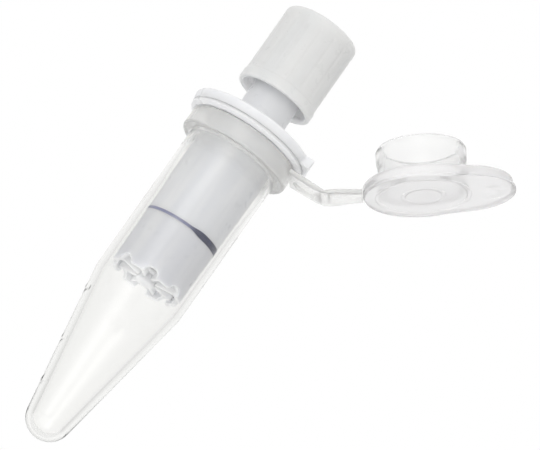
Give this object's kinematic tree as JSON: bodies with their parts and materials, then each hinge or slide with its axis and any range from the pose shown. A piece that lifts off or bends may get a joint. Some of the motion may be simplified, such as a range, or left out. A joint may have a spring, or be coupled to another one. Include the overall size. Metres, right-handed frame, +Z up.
{
  "type": "microcentrifuge tube",
  "caption": "Clear conical snap-lid tube, lid half open, holding a milky spin column with a blue ring, a flat tabbed cap with a Luer neck, and a ribbed Luer-lock closure.",
  "frame": {"origin": "centre of the underside of the tube's rim, on the tube's axis, where the tube seats in a rack or rotor", "axes": "+Z up the tube's axis out of its mouth, +X from the axis toward the lid hinge"},
  "size_m": [0.035, 0.0146, 0.0556],
  "materials": {
    "clear_polypropylene": "glossy clear moulded polypropylene",
    "milky_polypropylene": "milky translucent moulded polypropylene",
    "white_polypropylene": "satin whitish moulded polypropylene",
    "blue_ring": "dark blue satin",
    "porous_frit": "sintered porous white",
    "sorbent": "packed fine white powder"
  },
  "bodies": {
    "tube": {"collection_tube": "clear_polypropylene", "hinge_strap_tube_side": "clear_polypropylene", "living_hinge": "clear_polypropylene"},
    "lid": {"hinge_strap_lid_side": "clear_polypropylene", "tube_lid": "clear_polypropylene"},
    "column": {"column_body": "milky_polypropylene", "identification_ring": "blue_ring", "lower_frit": "porous_frit", "sorbent_bed": "sorbent", "upper_frit": "porous_frit"},
    "cap": {"column_cap": "milky_polypropylene"},
    "plug": {"luer_plug": "white_polypropylene"},
    "collar": {"luer_collar": "white_polypropylene"}
  },
  "joints": [
    {"name": "lid_hinge", "type": "hinge", "parent": "tube", "child": "lid", "pos_m": [0.0108, 0, 0.0015], "axis": [0, 1, 0], "range_deg": [-28, 75]},
    {"name": "column_lift", "type": "slide", "parent": "tube", "child": "column", "axis": [0, 0, 1], "range_m": [0, 0.03]},
    {"name": "cap_pull", "type": "slide", "parent": "column", "child": "cap", "axis": [0, 0, 1], "range_m": [0, 0.006]},
    {"name": "plug_rise", "type": "slide", "parent": "cap", "child": "plug", "axis": [0, 0, 1], "range_m": [0, 0.005]},
    {"name": "collar_turn", "type": "hinge", "parent": "plug", "child": "collar", "pos_m": [0, 0, 0.0114], "axis": [0, 0, 1], "range_deg": [0, 360]}
  ],
  "couplings": [
    {"joint": "collar_turn", "follows": "plug_rise", "rad_per_m": 1256.6}
  ]
}
